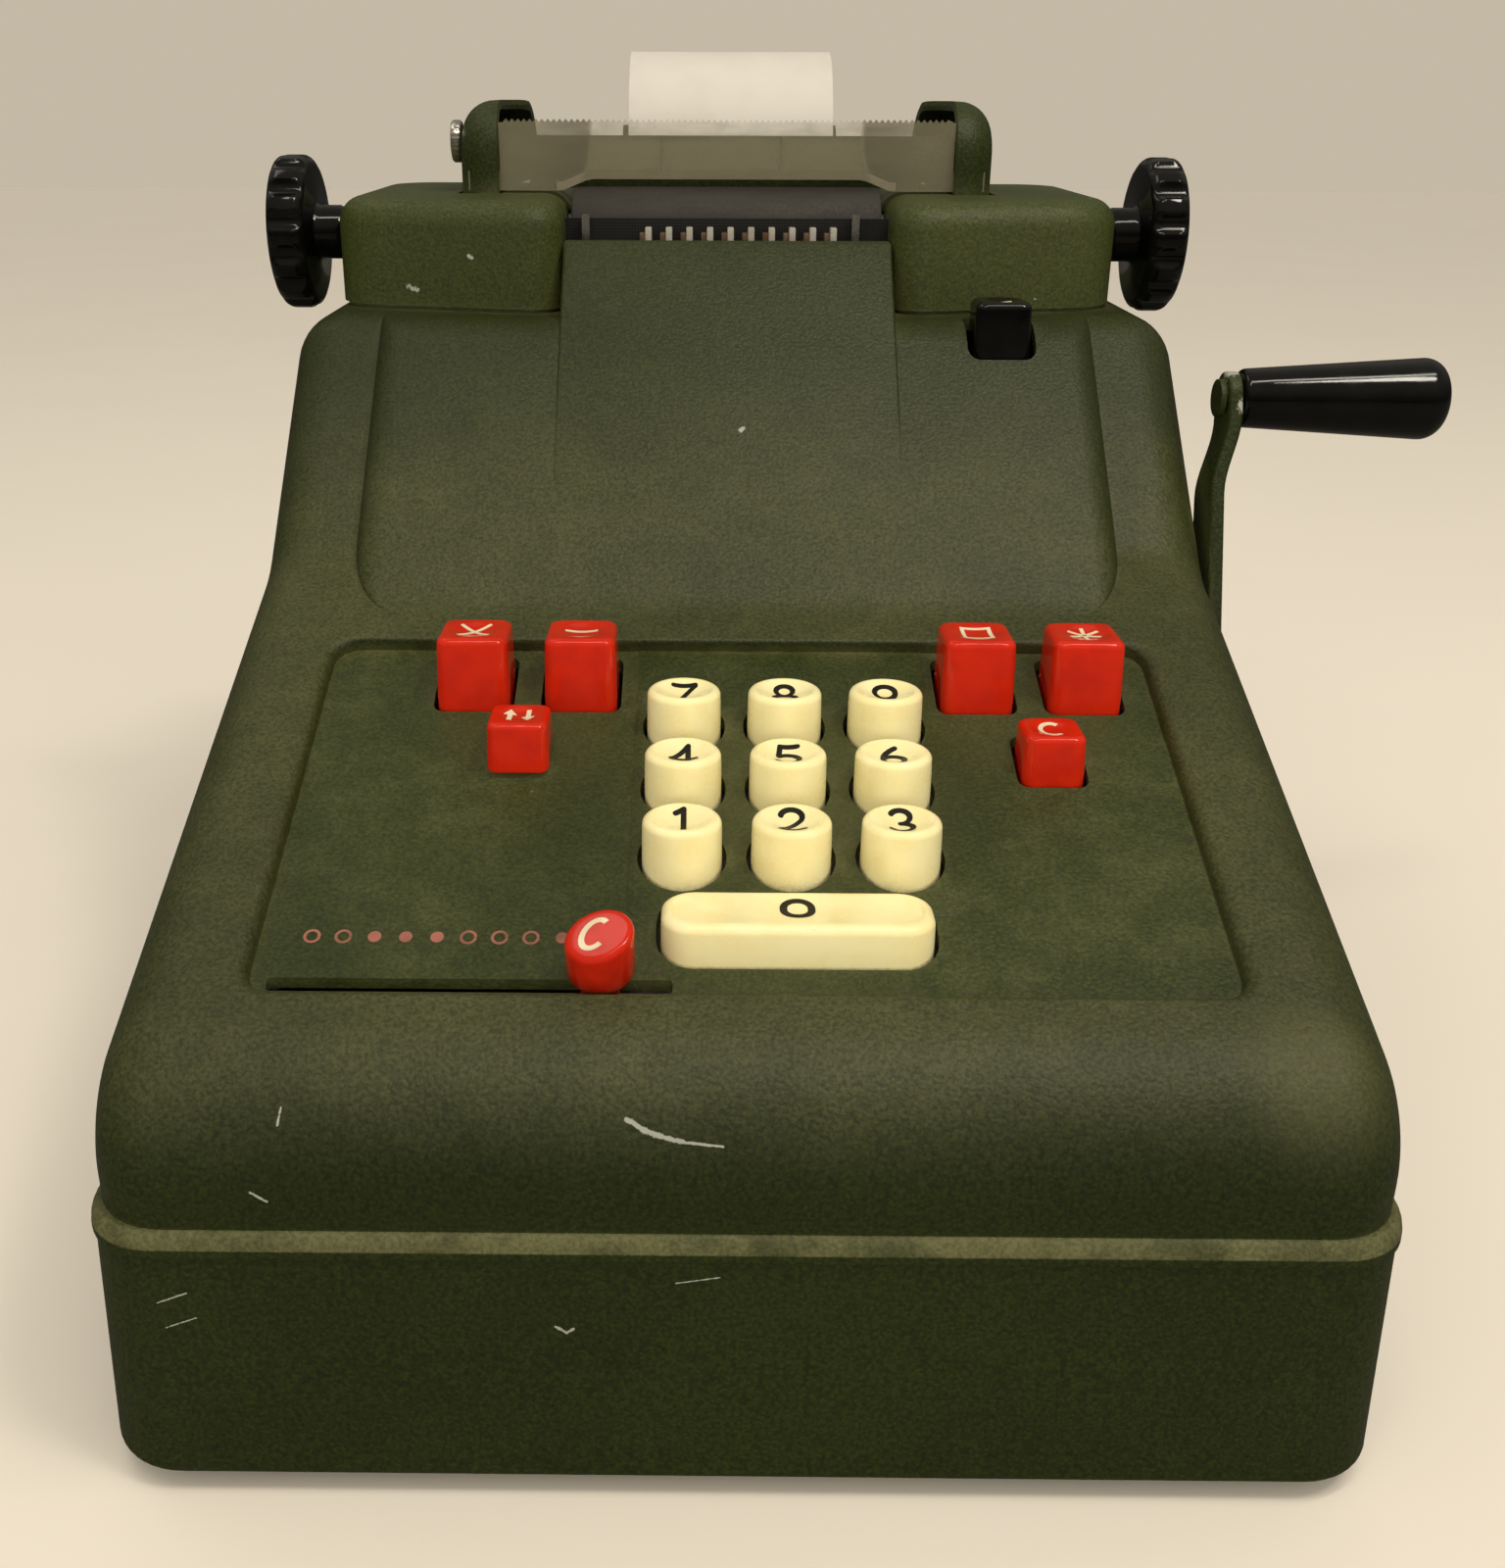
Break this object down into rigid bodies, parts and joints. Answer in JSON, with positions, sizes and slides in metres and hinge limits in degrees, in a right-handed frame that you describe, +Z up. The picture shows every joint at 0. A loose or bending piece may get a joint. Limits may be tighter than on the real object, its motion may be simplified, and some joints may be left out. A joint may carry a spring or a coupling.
{
  "type": "adding machine",
  "caption": "Hand-cranked printing adding machine: drafted pan, sloping keyboard housing with keys and column slider, paper carriage with knobs, side crank.",
  "frame": {"origin": "middle of the four hold-down holes, at the underside of the rubber feet", "axes": "+X to the operator's right, where the crank is; +Y from the keyboard to the back; +Z up"},
  "size_m": [0.2975, 0.332, 0.247],
  "materials": {
    "green_paint": "dark olive-green wrinkle paint, worn and dusty",
    "steel": "plain machined or pressed steel",
    "nickel": "nickel plate",
    "brass": "turned brass",
    "type_metal": "brassy type heads on steel bars",
    "black_rubber": "smooth black rubber",
    "black_plastic": "polished black",
    "cream_plastic": "polished cream",
    "red_plastic": "polished red",
    "celluloid": "clouded clear sheet",
    "paper": "plain white paper",
    "ribbon_cloth": "inked cloth"
  },
  "bodies": {
    "machine": {"base_pan": "green_paint", "rubber_feet": "black_rubber", "case_screws": "steel", "housing": "green_paint", "keyboard_plate": "green_paint", "key_guide_plate": "steel", "plate_posts": "steel", "left_side_frame": "steel", "right_side_frame": "steel", "tie_rods": "steel", "left_carriage_cover": "green_paint", "right_carriage_cover": "green_paint", "left_cheek": "green_paint", "right_cheek": "green_paint", "cheek_thumb_screw": "nickel", "tear_window": "celluloid", "paper_table": "green_paint", "platen_bearings": "steel", "paper_spindle": "steel", "paper_arms": "green_paint", "ribbon_guides": "nickel", "ribbon": "ribbon_cloth", "type_guide": "steel", "shaft_bushes": "brass", "return_spring": "steel", "slider_rail": "steel"},
    "crank": {"crank_arm": "green_paint", "grip_pin": "steel", "main_shaft": "steel", "drive_lever": "steel"},
    "grip": {"crank_grip": "black_plastic"},
    "platen": {"platen_roller": "black_rubber", "platen_shaft": "steel", "left_platen_knob": "black_plastic", "right_platen_knob": "black_plastic"},
    "roll": {"paper_roll": "paper"},
    "register": {"register_wheels": "steel"},
    "left_spool": {"left_ribbon_spool": "black_plastic"},
    "right_spool": {"right_ribbon_spool": "black_plastic"},
    "type_bank": {"type_bars": "type_metal"},
    "lever": {"two_way_lever": "red_plastic"},
    "slider": {"column_slider": "red_plastic"},
    "key_0_body": {"key_0": "cream_plastic"},
    "key_1_body": {"key_1": "cream_plastic"},
    "key_2_body": {"key_2": "cream_plastic"},
    "key_3_body": {"key_3": "cream_plastic"},
    "key_4_body": {"key_4": "cream_plastic"},
    "key_5_body": {"key_5": "cream_plastic"},
    "key_6_body": {"key_6": "cream_plastic"},
    "key_7_body": {"key_7": "cream_plastic"},
    "key_8_body": {"key_8": "cream_plastic"},
    "key_9_body": {"key_9": "cream_plastic"},
    "repeat_key_body": {"repeat_key": "red_plastic"},
    "minus_key_body": {"minus_key": "red_plastic"},
    "subtotal_key_body": {"subtotal_key": "red_plastic"},
    "total_key_body": {"total_key": "red_plastic"},
    "clear_key_body": {"clear_key": "red_plastic"},
    "release_key_body": {"release_key": "black_plastic"}
  },
  "joints": [
    {"name": "crank_pull", "type": "hinge", "parent": "machine", "child": "crank", "pos_m": [0, -0.005, 0.092], "axis": [1, 0, 0], "range_deg": [0, 75], "stiffness_Nm_per_rad": 0.6, "springref_deg": -28.65, "deforming": ["return_spring"]},
    {"name": "grip_spin", "type": "hinge", "parent": "crank", "child": "grip", "pos_m": [0.15, 0.01889, 0.1673], "axis": [1, 0, 0], "continuous": true},
    {"name": "platen_turn", "type": "hinge", "parent": "machine", "child": "platen", "pos_m": [-0.002, 0.082, 0.2005], "axis": [1, 0, 0], "continuous": true},
    {"name": "roll_spin", "type": "hinge", "parent": "machine", "child": "roll", "pos_m": [-0.0005, 0.136, 0.219], "axis": [1, 0, 0], "continuous": true},
    {"name": "register_turn", "type": "hinge", "parent": "machine", "child": "register", "pos_m": [0, 0.04, 0.12], "axis": [1, 0, 0], "continuous": true},
    {"name": "left_spool_spin", "type": "hinge", "parent": "machine", "child": "left_spool", "pos_m": [-0.0585, 0.06075, 0.2], "axis": [0, 0, 1], "continuous": true},
    {"name": "right_spool_spin", "type": "hinge", "parent": "machine", "child": "right_spool", "pos_m": [0.0545, 0.06075, 0.2], "axis": [0, 0, 1], "continuous": true},
    {"name": "type_rise", "type": "slide", "parent": "machine", "child": "type_bank", "axis": [0, 0, 1], "range_m": [0, 0.008]},
    {"name": "lever_shift", "type": "slide", "parent": "machine", "child": "lever", "axis": [0, 0.9444, 0.3289], "range_m": [0, 0.005]},
    {"name": "slider_shift", "type": "slide", "parent": "machine", "child": "slider", "axis": [-1, 0, 0], "range_m": [0, 0.0522]},
    {"name": "key_0_press", "type": "slide", "parent": "machine", "child": "key_0_body", "axis": [0, 0, -1], "range_m": [0, 0.0045], "stiffness_N_per_m": 150, "springref_m": -0.004},
    {"name": "key_1_press", "type": "slide", "parent": "machine", "child": "key_1_body", "axis": [0, 0, -1], "range_m": [0, 0.0045], "stiffness_N_per_m": 150, "springref_m": -0.004},
    {"name": "key_2_press", "type": "slide", "parent": "machine", "child": "key_2_body", "axis": [0, 0, -1], "range_m": [0, 0.0045], "stiffness_N_per_m": 150, "springref_m": -0.004},
    {"name": "key_3_press", "type": "slide", "parent": "machine", "child": "key_3_body", "axis": [0, 0, -1], "range_m": [0, 0.0045], "stiffness_N_per_m": 150, "springref_m": -0.004},
    {"name": "key_4_press", "type": "slide", "parent": "machine", "child": "key_4_body", "axis": [0, 0, -1], "range_m": [0, 0.0045], "stiffness_N_per_m": 150, "springref_m": -0.004},
    {"name": "key_5_press", "type": "slide", "parent": "machine", "child": "key_5_body", "axis": [0, 0, -1], "range_m": [0, 0.0045], "stiffness_N_per_m": 150, "springref_m": -0.004},
    {"name": "key_6_press", "type": "slide", "parent": "machine", "child": "key_6_body", "axis": [0, 0, -1], "range_m": [0, 0.0045], "stiffness_N_per_m": 150, "springref_m": -0.004},
    {"name": "key_7_press", "type": "slide", "parent": "machine", "child": "key_7_body", "axis": [0, 0, -1], "range_m": [0, 0.0045], "stiffness_N_per_m": 150, "springref_m": -0.004},
    {"name": "key_8_press", "type": "slide", "parent": "machine", "child": "key_8_body", "axis": [0, 0, -1], "range_m": [0, 0.0045], "stiffness_N_per_m": 150, "springref_m": -0.004},
    {"name": "key_9_press", "type": "slide", "parent": "machine", "child": "key_9_body", "axis": [0, 0, -1], "range_m": [0, 0.0045], "stiffness_N_per_m": 150, "springref_m": -0.004},
    {"name": "repeat_key_press", "type": "slide", "parent": "machine", "child": "repeat_key_body", "axis": [0, 0, -1], "range_m": [0, 0.0045], "stiffness_N_per_m": 150, "springref_m": -0.004},
    {"name": "minus_key_press", "type": "slide", "parent": "machine", "child": "minus_key_body", "axis": [0, 0, -1], "range_m": [0, 0.0045], "stiffness_N_per_m": 150, "springref_m": -0.004},
    {"name": "subtotal_key_press", "type": "slide", "parent": "machine", "child": "subtotal_key_body", "axis": [0, 0, -1], "range_m": [0, 0.0045], "stiffness_N_per_m": 150, "springref_m": -0.004},
    {"name": "total_key_press", "type": "slide", "parent": "machine", "child": "total_key_body", "axis": [0, 0, -1], "range_m": [0, 0.0045], "stiffness_N_per_m": 150, "springref_m": -0.004},
    {"name": "clear_key_press", "type": "slide", "parent": "machine", "child": "clear_key_body", "axis": [0, 0, -1], "range_m": [0, 0.0045], "stiffness_N_per_m": 150, "springref_m": -0.004},
    {"name": "release_key_press", "type": "slide", "parent": "machine", "child": "release_key_body", "axis": [0, 0, -1], "range_m": [0, 0.0045], "stiffness_N_per_m": 150, "springref_m": -0.004}
  ],
  "couplings": [
    {"joint": "type_rise", "follows": "crank_pull", "m_per_rad": 0.0061}
  ]
}
